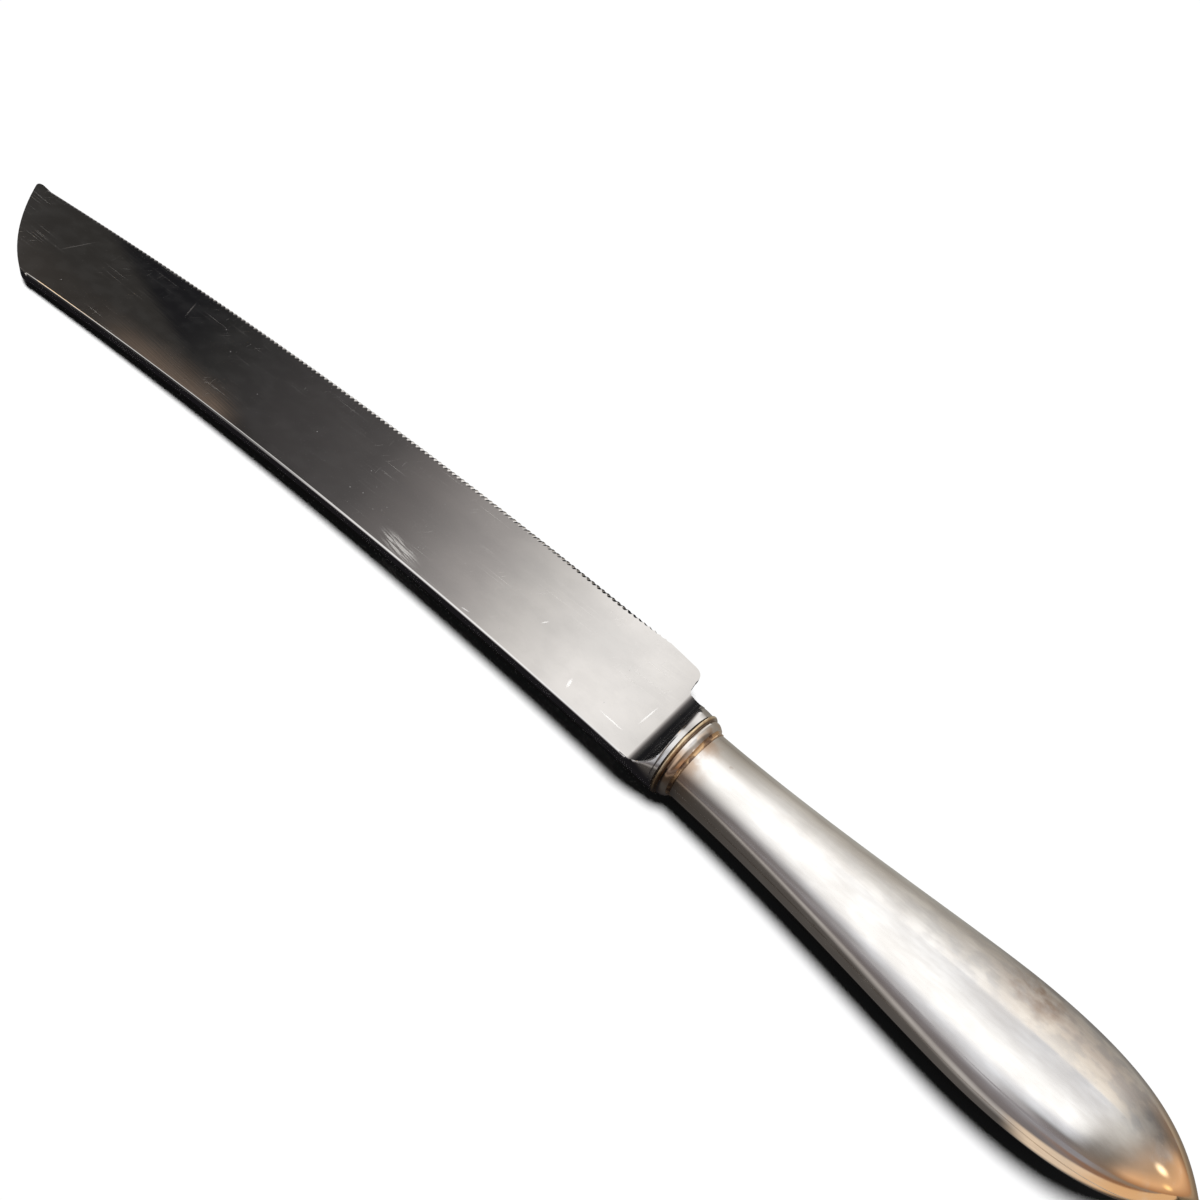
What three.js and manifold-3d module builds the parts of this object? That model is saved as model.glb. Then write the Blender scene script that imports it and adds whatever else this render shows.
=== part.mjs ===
// Cake knife with a serrated steel blade and a hollow silver handle.
// Millimetres. The knife lies on its side: +X runs towards the butt of the handle,
// +Y towards the cutting edge and +Z up. The handle's axis is the construction axis,
// and x = 0 is the seat on the back of the bolster, where the ring sits.

import * as THREE from 'three';
import { mergeVertices } from 'three/addons/utils/BufferGeometryUtils.js';
import Module from 'manifold-3d';

const wasm = await Module();
wasm.setup();

// Blade: two flat ground faces on a plan that bows towards the spine.
const bladeLength = 206;
const bowRadius = 1250;
const spineOffset = 9.6;
const edgeOffset = 17.9;
const spineThickness = 2.3;
const edgeThickness = 0.7;
const pointThickness = 0.7;
const pointLength = 31.8;
const pointCrown = 2.4;
const pointRound = 2;
const noseRound = 2;
const heelSlant = 2.5;
const heelRound = 3;
const heelRelief = 0.9;
const heelReliefLength = 9.2;

// Serration: flutes ground into the upper face, one beside the other.
const toothPitch = 1.33;
const fluteRadius = 0.8;
const fluteLength = 1.4;
const fluteDrop = 0.12;
const firstTooth = 8;
const lastTooth = 4;

// Bolster, with a cove where it rises out of the blade.
const bolsterLength = 5.6;
const notchOffset = 11.8;
const heelHalfHeight = 6;
const coveLength = 4.9;
const coveRise = 5.2;

// Ring, collar and solder fillet, threaded on the oval spigot of the bolster.
const seatHalfWidth = 8.3;
const seatHalfHeight = 8;
const ringLength = 0.9;
const ringCrown = 0.25;
const collarLength = 1.8;
const collarHalfWidth = 7.9;
const collarTaper = 0.5;
const collarCrown = 0.3;
const collarSolderLength = 0.7;
const collarSolderStep = 0.2;
const collarSolderHollow = 0.1;
const spigotHalfWidth = 4.8;
const spigotReach = 3;

// Tang, inside the handle.
const tangLength = 58;
const tangWidth = 8;
const tangEndWidth = 5;
const tangThickness = 3;

// Handle: two struck half shells on a cement core.
const handleLength = 92;
const neckHalfWidth = 7;
const neckHalfHeight = 6.3;
const neckRun = 25.5;
const bulgeAt = 62.6;
const bulgeHalfWidth = 10.95;
const bulgeHalfHeight = 8.8;
const bulgeRunIn = 12;
const bulgeRunOut = 16.5;
const buttHalfWidth = 0.8;
const buttHalfHeight = 0.7;
const buttRun = 5.9;
const buttRise = 6.8;
const buttSolid = 5;
const shellWall = 0.8;
const seamWidth = 0.3;

// Clearance round the spigot, the tang and the core.
const fitGap = 0.1;

// Facets of the round forms.
const ovalFacets = 40;
const handleSteps = 18;
const bowSteps = 24;
const coveSteps = 6;
const rimSteps = 6;
const fluteFacets = 10;

const mouthAt = ringLength + collarLength + collarSolderLength;
const ovalRatio = seatHalfHeight / seatHalfWidth;

// Joining and cutting

function solid(geometry) {
  const bare = geometry.clone();
  bare.deleteAttribute('normal');
  bare.deleteAttribute('uv');
  const merged = mergeVertices(bare, 1e-4);
  const mesh = new wasm.Mesh({
    numProp: 3,
    vertProperties: new Float32Array(merged.attributes.position.array),
    triVerts: new Uint32Array(merged.index.array),
  });
  return new wasm.Manifold(mesh);
}

function toGeometry(manifold) {
  const mesh = manifold.getMesh();
  const geometry = new THREE.BufferGeometry();
  geometry.setAttribute('position', new THREE.BufferAttribute(new Float32Array(mesh.vertProperties), 3));
  geometry.setIndex(new THREE.BufferAttribute(new Uint32Array(mesh.triVerts), 1));
  geometry.computeVertexNormals();
  return geometry;
}

// A turned form on the X axis, squeezed so that every station is an oval.
// Each station is the distance along X, the half width and the half height there.
function ovalForm(stations) {
  const profile = stations.map(([x, halfWidth]) => new THREE.Vector2(halfWidth, x));
  const geometry = new THREE.LatheGeometry(profile, ovalFacets);
  geometry.rotateZ(-Math.PI / 2);
  const position = geometry.attributes.position;
  for (let i = 0; i < position.count; i += 1) {
    const [, halfWidth, halfHeight] = stations[i % stations.length];
    const ratio = halfWidth > 0 ? halfHeight / halfWidth : 1;
    position.setZ(i, position.getZ(i) * ratio);
  }
  return geometry;
}

// Blade, bolster, spigot and tang

// A point of the bowed blade: the distance along it from the heel, and the offset from its centre line.
function bowed(along, offset) {
  const turn = along / bowRadius;
  const radius = bowRadius + offset;
  return new THREE.Vector2(-bolsterLength - radius * Math.sin(turn), radius * Math.cos(turn) - bowRadius);
}

function bladeOutline() {
  const up = Math.PI / 2;
  const spineEnd = bladeLength - pointLength;
  const point = bowed(bladeLength, edgeOffset);
  const corner = bowed(spineEnd, -spineOffset);
  const crown = bowed(bladeLength - pointLength / 2, (edgeOffset - spineOffset) / 2 - 2 * pointCrown);
  const cornerEnd = corner.clone().lerp(crown, pointRound / corner.distanceTo(crown));
  const noseStart = point.clone().lerp(crown, noseRound / point.distanceTo(crown));
  const plainEdge = edgeOffset - heelRelief;
  const roundStart = bowed(heelSlant + heelRound, plainEdge);
  const heelX = -bolsterLength - heelSlant;

  const shape = new THREE.Shape();
  shape.moveTo(-bolsterLength, -spineOffset);
  const spineTurn = (spineEnd - pointRound) / bowRadius;
  shape.absarc(-bolsterLength, -bowRadius, bowRadius - spineOffset, up, up + spineTurn, false);
  shape.quadraticCurveTo(corner.x, corner.y, cornerEnd.x, cornerEnd.y);
  shape.quadraticCurveTo(crown.x, crown.y, noseStart.x, noseStart.y);
  const tipTurn = (bladeLength - noseRound) / bowRadius;
  const noseEnd = bowed(bladeLength - noseRound, edgeOffset);
  shape.quadraticCurveTo(point.x, point.y, noseEnd.x, noseEnd.y);
  const reliefTurn = (heelSlant + heelRound + heelReliefLength) / bowRadius;
  shape.absarc(-bolsterLength, -bowRadius, bowRadius + edgeOffset, up + tipTurn, up + reliefTurn, true);
  shape.lineTo(roundStart.x, roundStart.y);
  shape.quadraticCurveTo(heelX, plainEdge, heelX, plainEdge - heelRound);
  const notchShare = (notchOffset + spineOffset) / (edgeOffset + spineOffset);
  shape.lineTo(-bolsterLength - heelSlant * notchShare, notchOffset);
  shape.lineTo(-bolsterLength / 2, seatHalfWidth / 2);
  shape.lineTo(-bolsterLength / 2, -seatHalfWidth / 2);
  return shape;
}

function bladeBlank() {
  const depth = 2 * spineThickness;
  const options = { depth, bevelEnabled: false, curveSegments: bowSteps };
  const slab = new THREE.ExtrudeGeometry(bladeOutline(), options);
  slab.translate(0, 0, -depth / 2);
  return solid(slab);
}

function bolsterBlank() {
  const start = -bolsterLength - heelSlant;
  const heelHalfWidth = (spineOffset + notchOffset) / 2;
  const lean = (notchOffset - spineOffset) / 2 / start;
  const waistHalfHeight = THREE.MathUtils.lerp(seatHalfHeight, heelHalfHeight, bolsterLength / -start);
  const body = ovalForm([
    [start, 0, 0],
    [start, heelHalfWidth, heelHalfHeight],
    [-bolsterLength, spineOffset - bolsterLength * lean, waistHalfHeight],
    [0, seatHalfWidth, seatHalfHeight],
    [0, 0, 0],
  ]);
  const position = body.attributes.position;
  for (let i = 0; i < position.count; i += 1) {
    position.setY(i, position.getY(i) + position.getX(i) * lean);
  }
  return solid(body);
}

// The space beside one ground face: flat over the blade, and rounded up into the bolster by the cove.
function groundAway(side) {
  const reach = bladeLength + pointLength;
  const shape = new THREE.Shape();
  shape.moveTo(-reach, 0);
  shape.lineTo(0, 0);
  shape.absellipse(0, coveRise, coveLength, coveRise, -Math.PI / 2, 0, false, 0);
  shape.lineTo(coveLength, reach / 4);
  shape.lineTo(-reach, reach / 4);
  const depth = reach;
  const space = new THREE.ExtrudeGeometry(shape, { depth, bevelEnabled: false, curveSegments: coveSteps });
  space.translate(0, 0, -depth / 2);

  const point = bowed(bladeLength, edgeOffset);
  const heelSpine = new THREE.Vector3(-bolsterLength, -spineOffset, side * spineThickness / 2);
  const heelEdge = new THREE.Vector3(-bolsterLength - heelSlant, edgeOffset, side * edgeThickness / 2);
  const bladePoint = new THREE.Vector3(point.x, point.y, side * pointThickness / 2);
  const across = heelEdge.clone().sub(heelSpine).multiplyScalar(side).normalize();
  const outward = new THREE.Plane().setFromCoplanarPoints(heelSpine, bladePoint, heelEdge).normal;
  outward.multiplyScalar(Math.sign(outward.z) * side);
  const along = across.clone().cross(outward);
  const frame = new THREE.Matrix4().makeBasis(along, outward, across.clone().negate());
  frame.setPosition(heelSpine);
  return solid(space.applyMatrix4(frame));
}

// One flute: a round wheel's cut that opens the edge and runs out on the upper face.
function flute(along) {
  const edge = bowed(along, edgeOffset);
  const turn = along / bowRadius;
  const drop = edgeThickness / 2 + fluteDrop;
  const slope = Math.atan2(edgeThickness / 2 + drop, fluteLength);
  const cut = new THREE.CylinderGeometry(fluteRadius, fluteRadius, 4 * fluteLength, fluteFacets);
  cut.translate(0, 0, fluteRadius);
  cut.rotateX(-slope);
  cut.translate(0, 0, -drop);
  cut.rotateZ(turn);
  cut.translate(edge.x, edge.y, 0);
  return solid(cut);
}

// Spigot and tang, grown by the clearance where they are the pocket in the core.
function tangForm(grow) {
  const spigotEnd = mouthAt + spigotReach + grow;
  const half = spigotHalfWidth + grow;
  const spigot = ovalForm([
    [-ringLength / 2, 0, 0],
    [-ringLength / 2, half, half * ovalRatio],
    [spigotEnd, half, half * ovalRatio],
    [spigotEnd, 0, 0],
  ]);
  const tangEnd = mouthAt + tangLength + grow;
  const shape = new THREE.Shape();
  shape.moveTo(mouthAt, -tangWidth / 2 - grow);
  shape.lineTo(tangEnd, -tangEndWidth / 2 - grow);
  shape.lineTo(tangEnd, tangEndWidth / 2 + grow);
  shape.lineTo(mouthAt, tangWidth / 2 + grow);
  const depth = tangThickness + 2 * grow;
  const bar = new THREE.ExtrudeGeometry(shape, { depth, bevelEnabled: false });
  bar.translate(0, 0, -depth / 2);
  return solid(spigot).add(solid(bar));
}

function bladeForging() {
  let forging = bladeBlank().add(bolsterBlank());
  forging = forging.subtract(groundAway(1)).subtract(groundAway(-1));
  for (let along = firstTooth; along <= bladeLength - lastTooth; along += toothPitch) {
    forging = forging.subtract(flute(along));
  }
  return toGeometry(forging.add(tangForm(0)));
}

// Ring, collar and solder fillet

// A band on the spigot: its two half widths at the sides, and how far its rim stands out between them.
function band(start, length, frontHalf, backHalf, crown) {
  const bore = spigotHalfWidth + fitGap;
  const rim = [];
  for (let i = 0; i <= rimSteps; i += 1) {
    const share = i / rimSteps;
    const half = THREE.MathUtils.lerp(frontHalf, backHalf, share) + crown * Math.sin(Math.PI * share);
    rim.push([start + length * share, half]);
  }
  const loop = [[start, bore], ...rim, [start + length, bore], [start, bore]];
  return ovalForm(loop.map(([x, half]) => [x, half, half * ovalRatio]));
}

// Handle

// The outline of the handle as stations, from the mouth to the butt.
function handleStations() {
  const rise = [
    [0, neckHalfWidth, neckHalfHeight],
    [neckRun, neckHalfWidth, neckHalfHeight],
    [bulgeAt - bulgeRunIn, bulgeHalfWidth, bulgeHalfHeight],
    [bulgeAt, bulgeHalfWidth, bulgeHalfHeight],
  ];
  const buttRiseUp = buttRise * bulgeHalfHeight / bulgeHalfWidth;
  const fall = [
    [bulgeAt, bulgeHalfWidth, bulgeHalfHeight],
    [bulgeAt + bulgeRunOut, bulgeHalfWidth, bulgeHalfHeight],
    [handleLength - buttRun, buttHalfWidth + buttRise, buttHalfHeight + buttRiseUp],
    [handleLength, buttHalfWidth, buttHalfHeight],
  ];
  const stations = [];
  for (const corners of [rise, fall]) {
    const curve = new THREE.CubicBezierCurve3(...corners.map((corner) => new THREE.Vector3(...corner)));
    const points = curve.getPoints(handleSteps);
    for (const point of points.slice(stations.length ? 1 : 0)) {
      stations.push([mouthAt + point.x, point.y, point.z]);
    }
  }
  return stations;
}

// The stations drawn in by a wall, up to the solid metal at the butt.
function cavityStations(inset) {
  const end = mouthAt + handleLength - buttSolid;
  const open = handleStations().filter(([x]) => x < end);
  return open.map(([x, halfWidth, halfHeight]) => [x, halfWidth - inset, halfHeight - inset]);
}

function closedForm(stations) {
  const first = stations[0];
  const last = stations[stations.length - 1];
  return ovalForm([[first[0], 0, 0], ...stations, [last[0], 0, 0]]);
}

// The cavity reaches out of the mouth, so that the shells are open there.
function halfShell(side) {
  const cavity = cavityStations(shellWall);
  const [, halfWidth, halfHeight] = cavity[0];
  cavity.unshift([mouthAt - shellWall, halfWidth, halfHeight]);
  const size = 4 * handleLength;
  const half = new THREE.BoxGeometry(size, size, size);
  half.translate(0, 0, side * (size / 2 + seamWidth / 2));
  const shells = solid(closedForm(handleStations())).subtract(solid(closedForm(cavity)));
  return toGeometry(shells.intersect(solid(half)));
}

// A strip of solder between the rims of the two shells, on one side of the handle.
function seamStrip(side) {
  const outer = handleStations().map(([x, halfWidth]) => new THREE.Vector2(x, halfWidth));
  const inner = cavityStations(shellWall).map(([x, halfWidth]) => new THREE.Vector2(x, halfWidth));
  const last = inner[inner.length - 1];
  const butt = new THREE.Vector2(mouthAt + handleLength, 0);
  const heart = new THREE.Vector2(last.x, 0);
  const shape = new THREE.Shape([...outer, butt, heart, ...inner.reverse()]);
  const strip = new THREE.ExtrudeGeometry(shape, { depth: seamWidth, bevelEnabled: false });
  strip.translate(0, 0, -seamWidth / 2);
  return side > 0 ? strip : strip.rotateX(Math.PI);
}

function fillerCore() {
  const core = solid(closedForm(cavityStations(shellWall + fitGap)));
  return toGeometry(core.subtract(tangForm(fitGap)));
}

// Assembly

const steel = { color: 0xb9b7b4, roughness: 0.12, metalness: 1 };
const brass = { color: 0xc8a878, roughness: 0.3, metalness: 1 };
const silver = { color: 0xd2cec8, roughness: 0.22, metalness: 1 };
const solder = { color: 0xa8865f, roughness: 0.4, metalness: 1 };
const cement = { color: 0x5a4636, roughness: 0.9, metalness: 0 };

const collarEnd = ringLength + collarLength;
const collarBack = collarHalfWidth - collarTaper;
const solderFront = collarBack - collarSolderStep;
const solderCrown = -collarSolderHollow;

const pieces = [
  ['blade', bladeForging(), steel],
  ['bolster_ring', band(0, ringLength, seatHalfWidth, seatHalfWidth, ringCrown), brass],
  ['collar', band(ringLength, collarLength, collarHalfWidth, collarBack, collarCrown), silver],
  ['collar_solder', band(collarEnd, collarSolderLength, solderFront, neckHalfWidth, solderCrown), solder],
  ['handle_shell_upper', halfShell(1), silver],
  ['handle_shell_lower', halfShell(-1), silver],
  ['seam_solder_edge', seamStrip(1), solder],
  ['seam_solder_spine', seamStrip(-1), solder],
  ['handle_filler', fillerCore(), cement],
];

const knife = new THREE.Group();
for (const [name, geometry, finish] of pieces) {
  const mesh = new THREE.Mesh(geometry, new THREE.MeshStandardMaterial(finish));
  mesh.name = name;
  knife.add(mesh);
}

// At rest the knife stands on the bulge of its handle and the point of its blade.
const pointAt = bowed(bladeLength, edgeOffset);
const lift = bulgeHalfHeight - pointThickness / 2;
knife.rotation.y = -Math.atan2(lift, mouthAt + bulgeAt - pointAt.x);

const part = new THREE.Group();
part.add(knife);
part.updateMatrixWorld(true);
const box = new THREE.Box3().setFromObject(part, true);
const centre = box.getCenter(new THREE.Vector3());
knife.position.set(-centre.x, -centre.y, -box.min.z);

export default part;
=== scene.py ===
"""The looks of a cake knife: a serrated steel blade on a hollow, tarnished silver handle."""

import math

import bmesh
import bpy
from mathutils import Matrix, Vector
from mathutils.geometry import interpolate_bezier


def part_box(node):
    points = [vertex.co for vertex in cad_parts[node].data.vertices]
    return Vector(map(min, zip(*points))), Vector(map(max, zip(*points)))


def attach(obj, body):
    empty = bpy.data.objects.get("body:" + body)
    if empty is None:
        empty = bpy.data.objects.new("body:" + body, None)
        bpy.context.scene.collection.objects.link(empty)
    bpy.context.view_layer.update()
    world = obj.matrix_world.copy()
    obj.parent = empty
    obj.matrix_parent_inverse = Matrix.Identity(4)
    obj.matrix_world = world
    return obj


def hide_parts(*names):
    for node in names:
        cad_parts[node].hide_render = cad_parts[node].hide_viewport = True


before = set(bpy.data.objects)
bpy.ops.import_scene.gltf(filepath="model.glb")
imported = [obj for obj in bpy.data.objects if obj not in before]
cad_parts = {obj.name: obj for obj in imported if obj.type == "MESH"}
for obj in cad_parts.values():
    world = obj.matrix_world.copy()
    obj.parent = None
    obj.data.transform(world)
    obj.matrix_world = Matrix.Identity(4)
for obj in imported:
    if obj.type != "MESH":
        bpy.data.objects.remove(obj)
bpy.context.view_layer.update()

# The knife's own frame: x to the butt from the seat of the ring, y to the cutting edge, z up.
MM = 0.001

# Blade
blade_length = 206 * MM
bow_radius = 1250 * MM
spine_offset = 9.6 * MM
edge_offset = 17.9 * MM
spine_thickness = 2.3 * MM
edge_thickness = 0.7 * MM
point_thickness = 0.7 * MM
point_length = 31.8 * MM
point_crown = 2.4 * MM
point_round = 2 * MM
nose_round = 2 * MM
heel_slant = 2.5 * MM
heel_round = 3 * MM
heel_relief = 0.9 * MM
heel_relief_length = 9.2 * MM
spine_ridge = 0.5 * MM

# Serration
tooth_pitch = 1.33 * MM
flute_radius = 0.8 * MM
flute_length = 1.4 * MM
flute_drop = 0.12 * MM
first_tooth = 8 * MM
last_tooth = 4 * MM
fading_teeth = 12
ground_face_area = 1e-3

# Bolster
bolster_length = 5.6 * MM
notch_offset = 11.8 * MM
heel_half_height = 6 * MM
cove_length = 4.9 * MM
cove_rise = 5.2 * MM
crest_round = 0.3 * MM
cove_sink = 0.02 * MM
bolster_tuck = 1.2 * MM
bolster_swell = 0.4 * MM

# Ring, collar and solder fillet
seat_half_width = 8.3 * MM
seat_half_height = 8 * MM
ring_length = 0.9 * MM
ring_crown = 0.25 * MM
collar_length = 1.8 * MM
collar_half_width = 7.9 * MM
collar_taper = 0.5 * MM
collar_crown = 0.3 * MM
fillet_length = 0.7 * MM
fillet_step = 0.2 * MM
fillet_hollow = 0.1 * MM
band_bore = 4.9 * MM

# Handle
handle_length = 91.99 * MM
neck_half_width = 7 * MM
neck_half_height = 6.3 * MM
neck_run = 25.5 * MM
bulge_at = 62.6 * MM
bulge_half_width = 10.95 * MM
bulge_half_height = 8.79 * MM
bulge_run_in = 12 * MM
bulge_run_out = 16.5 * MM
butt_half_width = 0.8 * MM
butt_half_height = 0.7 * MM
butt_run = 5.9 * MM
butt_rise = 6.8 * MM
butt_solid = 5 * MM
shell_wall = 0.8 * MM
seam_width = 0.3 * MM

# Marks of wear on the blade: place, turn from the knife's length, length and width
scuff_mark = ((-65 * MM, -8.5 * MM, 0), -0.1, 15 * MM, 5 * MM)
heel_scratch = ((-12.1 * MM, -5.7 * MM, 0), 0.0, 7 * MM, 0.4 * MM)
cross_scratch = ((-8.6 * MM, 0.5 * MM, 0), 1.6, 7 * MM, 0.4 * MM)
white_nick = ((-22.2 * MM, -5.7 * MM, 0), 1.9, 3 * MM, 0.8 * MM)
middle_nick = ((-35 * MM, 1.1 * MM, 0), 1.2, 2 * MM, 0.4 * MM)
spine_nick = ((-45.8 * MM, -9 * MM, 0), 0.2, 2.4 * MM, 0.4 * MM)
point_scratch = ((-150 * MM, 2 * MM, 0), 2.2, 8 * MM, 0.3 * MM)
nose_scratch = ((-183 * MM, -6 * MM, 0), 1.6, 12 * MM, 0.3 * MM)

# Specks, stains and a dark patch on the knife: place and reach
point_specks = ((-83 * MM, -4 * MM, 0), 16 * MM)
heel_specks = ((-58 * MM, -4.6 * MM, 0), 12 * MM)
bolster_dark_patch = ((-0.6 * MM, 6.5 * MM, 5 * MM), 4.5 * MM)
brown_patch = ((64 * MM, 4 * MM, 7.5 * MM), 8 * MM)

# Fineness of the round forms
bow_steps = 40
corner_steps = 6
crown_steps = 16
nose_steps = 8
heel_steps = 8
tooth_steps = 8
ridge_steps = 5
cove_steps = 24
crest_shares = (0.03, 0.12, 0.25, 0.42, 0.65, 1)
seat_steps = 6
rim_steps = 16
oval_facets = 160
handle_steps = 56
merge_distance = 1e-7
plan_merge_distance = 1e-6
on_the_line = 2e-5
station_slack = 1e-9

collar_end = ring_length + collar_length
mouth_at = collar_end + fillet_length
bow_centre = Vector((-bolster_length, -bow_radius, 0))


def bowed(along, offset):
    """A point of the bowed blade, from the distance along it and the offset from its centre line."""
    turn = along / bow_radius
    radius = bow_radius + offset
    return bow_centre + Vector((-radius * math.sin(turn), radius * math.cos(turn), 0))


def along_and_offset(point):
    """The inverse of bowed."""
    arm = point - bow_centre
    return math.atan2(-arm.x, arm.y) * bow_radius, math.hypot(arm.x, arm.y) - bow_radius


# Where the knife lies: on the bulge of its handle and the point of its blade.
ring_low, ring_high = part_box("bolster_ring")
ring_centre = (ring_low + ring_high) / 2
point_x = bowed(blade_length, edge_offset).x
rest_lean = -math.atan2(bulge_half_height - point_thickness / 2, mouth_at + bulge_at - point_x)
at_rest = (
    Matrix.Translation(ring_centre)
    @ Matrix.Rotation(rest_lean, 4, "Y")
    @ Matrix.Translation((-ring_length / 2, 0, 0))
)

# The flat ground face of the blade, as a plane through three of its corners.
heel_spine = Vector((-bolster_length, -spine_offset, spine_thickness / 2))
heel_edge = Vector((-bolster_length - heel_slant, edge_offset, edge_thickness / 2))
blade_point = bowed(blade_length, edge_offset) + Vector((0, 0, point_thickness / 2))
face_normal = (heel_edge - heel_spine).cross(blade_point - heel_spine).normalized()
heel_line = (heel_edge - heel_spine).normalized()


def face_height(x, y):
    """Height of the upper ground face above the middle of the blade."""
    rise = face_normal.x * (x - heel_spine.x) + face_normal.y * (y - heel_spine.y)
    return heel_spine.z - rise / face_normal.z


# Making a piece

def chain(bm, points):
    """Vertices joined one after the other."""
    verts = [bm.verts.new(point) for point in points]
    edges = [bm.edges.new(pair) for pair in zip(verts, verts[1:])]
    return verts + edges


def swept_curve(start, corner, end, steps):
    """Points of a curve that leaves start and reaches end along the sides of a corner."""
    return interpolate_bezier(start, start.lerp(corner, 2 / 3), end.lerp(corner, 2 / 3), end, steps + 1)


def oval_form(stations):
    """A form spun round the handle's axis, oval at every station: x, half width and half height."""
    bm = bmesh.new()
    squeeze = bm.verts.layers.float.new("squeeze")
    profile = chain(bm, [(x, half_width, 0) for x, half_width, half_height in stations])
    for vert, (x, half_width, half_height) in zip(profile, stations):
        vert[squeeze] = half_height / half_width if half_width else 1
    bmesh.ops.spin(
        bm,
        geom=profile,
        cent=(0, 0, 0),
        axis=(1, 0, 0),
        angle=math.tau,
        steps=oval_facets,
        use_merge=True,
    )
    for vert in bm.verts:
        vert.co.z *= vert[squeeze]
    bmesh.ops.remove_doubles(bm, verts=bm.verts, dist=merge_distance)
    bmesh.ops.recalc_face_normals(bm, faces=bm.faces)
    return bm


def finish_piece(bm, name, node, finish, sharp=35, flat_over=1.0):
    """Lays the mesh where the knife rests and makes it a piece that stands for a node of the knife."""
    bm.transform(at_rest)
    for face in bm.faces:
        face.smooth = face.calc_area() < flat_over
    for edge in bm.edges:
        edge.smooth = edge.is_manifold and edge.calc_face_angle() < math.radians(sharp)
    mesh = bpy.data.meshes.new(name)
    bm.to_mesh(mesh)
    bm.free()
    mesh.materials.append(finish)
    piece = bpy.data.objects.new(name, mesh)
    bpy.context.scene.collection.objects.link(piece)
    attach(piece, "root")
    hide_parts(node)


# Blade

def flute_inset(share, height, depth):
    """How far a flute eats in from the edge, at a share of the tooth and a height in the blade."""
    side = (share - 0.5) * tooth_pitch
    drop = edge_thickness / 2 + flute_drop
    slope = (edge_thickness / 2 + drop) / flute_length
    hollow = flute_radius - math.sqrt(flute_radius**2 - side**2)
    cut = (height + drop - hollow * math.hypot(1, slope)) / slope
    return max(cut, 0) * depth


def flute_depth(along):
    """The flutes run out towards the heel."""
    return min(1, (along - first_tooth + tooth_pitch) / (fading_teeth * tooth_pitch))


def tooth_share(along):
    return ((along - first_tooth) / tooth_pitch + 0.5) % 1


def edge_relief(along):
    """How far the edge is drawn in as it nears the heel."""
    share = (heel_slant + heel_round + heel_relief_length - along) / heel_relief_length
    return heel_relief * min(1, max(0, share))


def blade_plan(bm):
    """The closed outline of the blade in plan, at the height of its middle."""
    spine_end = blade_length - point_length
    corner = bowed(spine_end, -spine_offset)
    corner_start = bowed(spine_end - point_round, -spine_offset)
    point = bowed(blade_length, edge_offset)
    crown = bowed(blade_length - point_length / 2, (edge_offset - spine_offset) / 2 - 2 * point_crown)
    corner_end = corner.lerp(crown, point_round / (crown - corner).length)
    nose_start = point.lerp(crown, nose_round / (crown - point).length)
    nose_end = bowed(blade_length - nose_round, edge_offset)
    heel_start = bm.verts.new(heel_spine.xy.to_3d())
    spine_turn = (spine_end - point_round) / bow_radius
    bmesh.ops.spin(
        bm, geom=[heel_start], cent=bow_centre, axis=(0, 0, 1), angle=spine_turn, steps=bow_steps
    )
    chain(bm, swept_curve(corner_start, corner, corner_end, corner_steps))
    chain(bm, swept_curve(corner_end, crown, nose_start, crown_steps))
    chain(bm, swept_curve(nose_start, point, nose_end, nose_steps))

    tooth_count = math.floor((blade_length - last_tooth - first_tooth) / tooth_pitch) + 1
    tooth_start = first_tooth - tooth_pitch / 2
    teeth_end = tooth_start + tooth_count * tooth_pitch
    shares = [step / tooth_steps for step in range(tooth_steps + 1)]
    tooth = chain(bm, [bowed(tooth_start + share * tooth_pitch, edge_offset) for share in shares])
    bmesh.ops.spin(
        bm,
        geom=tooth,
        cent=bow_centre,
        axis=(0, 0, 1),
        angle=(tooth_count - 1) * tooth_pitch / bow_radius,
        steps=tooth_count - 1,
        use_duplicate=True,
    )
    chain(bm, [bowed(teeth_end, edge_offset), nose_end])

    plain_edge = edge_offset - heel_relief
    heel_x = -bolster_length - heel_slant
    round_start = bowed(heel_slant + heel_round, plain_edge)
    round_corner = Vector((heel_x, plain_edge, 0))
    round_end = Vector((heel_x, plain_edge - heel_round, 0))
    chain(bm, [bowed(tooth_start, edge_offset), round_start])
    chain(bm, swept_curve(round_start, round_corner, round_end, heel_steps))
    notch = heel_spine.xy.to_3d() + heel_line * (notch_offset + spine_offset) / heel_line.y
    notch.z = 0
    inside = seat_half_width / 2
    chain(
        bm,
        [
            round_end,
            notch,
            Vector((-bolster_length / 2, inside, 0)),
            Vector((-bolster_length / 2, -inside, 0)),
            heel_spine.xy.to_3d(),
        ],
    )
    bmesh.ops.remove_doubles(bm, verts=bm.verts, dist=plan_merge_distance)
    bmesh.ops.contextual_create(bm, geom=bm.edges[:])


def cut_flutes(verts, side):
    """Draws the edge in near the heel and at the flutes, which cut deeper into the upper face."""
    toothed_to = blade_length - last_tooth + tooth_pitch / 2
    for vert in verts:
        along, offset = along_and_offset(vert.co.xy.to_3d())
        if offset < edge_offset - on_the_line:
            continue
        inset = edge_relief(along)
        if first_tooth - tooth_pitch / 2 < along < toothed_to:
            flute = flute_inset(tooth_share(along), side * edge_thickness / 2, flute_depth(along))
            inset = max(inset, flute)
        vert.co = bowed(along, edge_offset - inset)


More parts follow.
